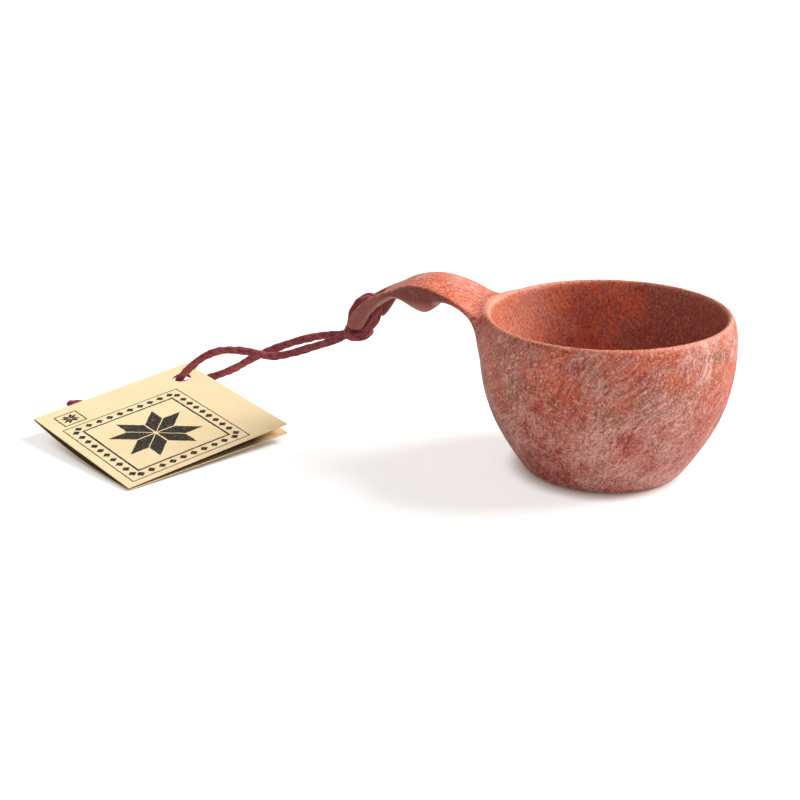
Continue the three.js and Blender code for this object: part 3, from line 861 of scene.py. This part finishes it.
# ---- tag ----
def cover_place(out, down):
    """Points on the cover's upper face: out from the crease and down from the high side, 0 to 1."""
    out, down = out[:, None], down[:, None]
    high = CREASE_HIGH + (LOOSE_HIGH - CREASE_HIGH) * out
    low = CREASE_LOW + (LOOSE_LOW - CREASE_LOW) * out
    return high + (low - high) * down


def back_place(out, down):
    place = cover_place(out, down) - TAG_NORMAL * (CARD + LEAF_GAP)
    drop = LOOSE_CORNER_DROP * out * (1 - down) + SIDE_BOW * down * np.sin(math.pi * out)
    place[:, 2] -= drop
    return place


def card_cells():
    """A flat triangle mesh of a leaf with its punched hole, in millimetres from the crease and
    from the high side, and the closed loops of its two edges."""
    side, cells, hole_steps = TAG_SIDE, 44, 48
    ticks = np.linspace(0, side, cells + 1)
    border = [(t, 0.0) for t in ticks[:-1]] + [(side, t) for t in ticks[:-1]]
    border += [(side - t, side) for t in ticks[:-1]] + [(0.0, side - t) for t in ticks[:-1]]
    across, along, radius = TAG_HOLE
    turn = np.linspace(0, 2 * math.pi, hole_steps, endpoint=False)
    hole = [(across + radius * math.cos(a), along + radius * math.sin(a)) for a in turn]
    inner = [(u, v) for u in ticks[1:-1] for v in ticks[1:-1]
             if math.hypot(u - across, v - along) > radius + 0.9]
    points = [*border, *hole, *inner]
    n, h = len(border), len(hole)
    loops = [list(range(n)), [n + k for k in reversed(range(h))]]
    edges = [(loop[k], loop[(k + 1) % len(loop)]) for loop in loops for k in range(len(loop))]
    found = delaunay_2d_cdt([Vector(p) for p in points], edges, [], 0, 1e-6)
    flat, faces = found[0], found[2]
    middle = [sum((flat[i] for i in f), Vector((0, 0))) / len(f) for f in faces]
    hole_centre = Vector((across, along))
    kept = [f for f, m in zip(faces, middle) if (m - hole_centre).length > radius * 0.99]
    return np.array([tuple(p) for p in flat]), kept, loops


def make_leaf(name, place_at, material, body, node):
    flat, faces, loops = card_cells()
    top = place_at(flat[:, 0] / TAG_SIDE, flat[:, 1] / TAG_SIDE)
    bottom = top - TAG_NORMAL * CARD
    count = len(flat)
    a, b, c = (top[faces[0][k]] for k in range(3))
    flip = np.cross(b - a, c - a) @ TAG_NORMAL < 0
    upper = [tuple(reversed(f)) if flip else tuple(f) for f in faces]
    lower = [tuple(i + count for i in reversed(f)) for f in upper]
    walls = []
    for loop in loops:
        for k, i in enumerate(loop):
            j = loop[(k + 1) % len(loop)]
            wall = (i, j, j + count, i + count)
            walls.append(wall if flip else tuple(reversed(wall)))
    points = np.vstack([top, bottom]) * MM
    obj = add_object(name, points, [*upper, *lower, *walls], material, smooth=False)
    spot = np.zeros((2 * count, 3))
    spot[:, :2] = np.vstack([flat, flat])
    spot[:count, 2] = 1
    set_attribute(obj, "card", spot)
    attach(obj, body)
    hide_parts(node)
    return obj


def make_crease(material):
    """The fold itself: a half round of card that joins the two leaves at the crease."""
    outer = CARD + LEAF_GAP / 2
    inner = LEAF_GAP / 2
    line = CREASE_LOW - CREASE_HIGH
    outwards = CREASE_HIGH - LOOSE_HIGH
    outwards = outwards / np.linalg.norm(outwards)
    centre = CREASE_HIGH - TAG_NORMAL * (CARD + LEAF_GAP / 2)
    steps, lengths = 8, 20
    points, faces, spot = [], [], []
    for j in range(lengths + 1):
        for radius in (outer, inner):
            for i in range(steps + 1):
                angle = math.pi * (i / steps) - math.pi / 2
                around = outwards * math.cos(angle) * 0.8 + TAG_NORMAL * math.sin(angle)
                points.append(centre + line * j / lengths + around * radius)
                spot.append((-radius * math.cos(angle), TAG_SIDE * j / lengths, 0))
    row = 2 * (steps + 1)
    ring = [*range(steps + 1), *range(row - 1, steps, -1)]
    for j in range(lengths):
        for k, i in enumerate(ring):
            n = ring[(k + 1) % len(ring)]
            faces.append((j * row + i, j * row + n, (j + 1) * row + n, (j + 1) * row + i))
    faces.append(tuple(reversed(ring)))
    faces.append(tuple(lengths * row + i for i in ring))
    obj = add_object("tag_crease", np.array(points) * MM, faces, material)
    set_attribute(obj, "card", spot)
    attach(obj, "tag")


# ---- surroundings ----
def make_camera():
    data = bpy.data.cameras.new("camera")
    data.sensor_width = 36
    data.lens = CAMERA_LENS
    data.clip_start = 0.02
    camera = bpy.data.objects.new("camera", data)
    scene.collection.objects.link(camera)
    turn = Euler((math.radians(90 + CAMERA_PITCH), 0, math.radians(CAMERA_YAW))).to_matrix()
    roll = Matrix.Rotation(math.radians(CAMERA_ROLL), 3, "Z")
    camera.matrix_world = (turn @ roll).to_4x4()
    camera.location = CAMERA_AT
    scene.camera = camera


def floor_plane(name, material, height):
    corners = [(x * TABLE_REACH, y * TABLE_REACH, height) for x, y in ((-1, -1), (1, -1), (1, 1), (-1, 1))]
    plane = add_object(name, corners, [(0, 1, 2, 3)], material)
    return plane


def make_floor():
    """A pale table that glows a little, as a light table does, so its shadows stay faint; its glow turns a
    darker warm brown where little sky is open, a painted contact shadow round what stands on it. What
    lights the object from below is a plain grey one just under it."""
    table = Shader("light_table")
    open_sky = table.node("AmbientOcclusion", {"Distance": 0.009}, samples=16).outputs["AO"]
    # Painted contact shadow: the glow darkens towards warm brown close to what stands on the table.
    tint = table.mix(table.ramp(open_sky, 0.1, 0.85), rgb(98, 80, 58), (1.0, 0.985, 0.965, 1))
    glow = table.finish(Base_Color=(0.7, 0.7, 0.7, 1), Roughness=0.9, Specular_IOR_Level=0.1,
                        Emission_Color=tint, Emission_Strength=TABLE_GLOW)
    shown = floor_plane("floor", glow, 0)
    shown.visible_diffuse = False
    shown.visible_glossy = False
    shown.visible_shadow = False
    grey = Shader("grey_table")
    dull = grey.finish(Base_Color=(0.68, 0.68, 0.68, 1), Roughness=0.9, Specular_IOR_Level=0.1)
    bounce = floor_plane("floor_bounce", dull, -0.0005)
    bounce.visible_camera = False
    bounce.visible_shadow = False


def make_lights():
    world = bpy.data.worlds.new("soft_sky")
    scene.world = world
    world.use_nodes = True
    tree = world.node_tree
    direction = tree.nodes.new("ShaderNodeTexCoord").outputs["Generated"]
    height = tree.nodes.new("ShaderNodeSeparateXYZ")
    horizon = tree.nodes.new("ShaderNodeMapRange")
    overhead = tree.nodes.new("ShaderNodeMapRange")
    strength = tree.nodes.new("ShaderNodeMath")
    strength.operation = "MULTIPLY"
    ranges = ((horizon, (-0.02, -0.01, 0.0, 1.0)), (overhead, (0.0, 0.9, SKY_LOW, SKY_HIGH)))
    for part, values in ranges:
        for socket, value in zip(part.inputs[1:5], values):
            socket.default_value = value
    sky = tree.nodes["Background"]
    sky.inputs["Color"].default_value = (1, 1, 1, 1)
    tree.links.new(direction, height.inputs[0])
    for k, part in enumerate((horizon, overhead)):
        tree.links.new(height.outputs["Z"], part.inputs[0])
        tree.links.new(part.outputs[0], strength.inputs[k])
    tree.links.new(strength.outputs[0], sky.inputs["Strength"])
    sun = bpy.data.lights.new("key", "SUN")
    sun.energy = SUN_STRENGTH
    sun.angle = math.radians(SUN_SPREAD)
    key = bpy.data.objects.new("key", sun)
    scene.collection.objects.link(key)
    towards = Matrix.Rotation(math.radians(CAMERA_YAW), 3, "Z") @ Vector(SUN_TOWARDS)
    key.rotation_euler = towards.to_track_quat("Z", "Y").to_euler()
    scene.view_settings.view_transform = "Standard"


def main():
    make_camera()
    cup = Cup()
    cotton = cotton_material()
    cord, path, length = make_cord(cup, cotton)
    knot = make_knot(cotton)
    make_cup(cup)
    make_leaf("tag_cover_leaf", cover_place, card_material(printed=True), "tag_cover", "tag_cover")
    plain = card_material(printed=False)
    make_leaf("tag_back_leaf", back_place, plain, "tag", "tag_back")
    make_crease(plain)
    make_floor()
    make_lights()


main()
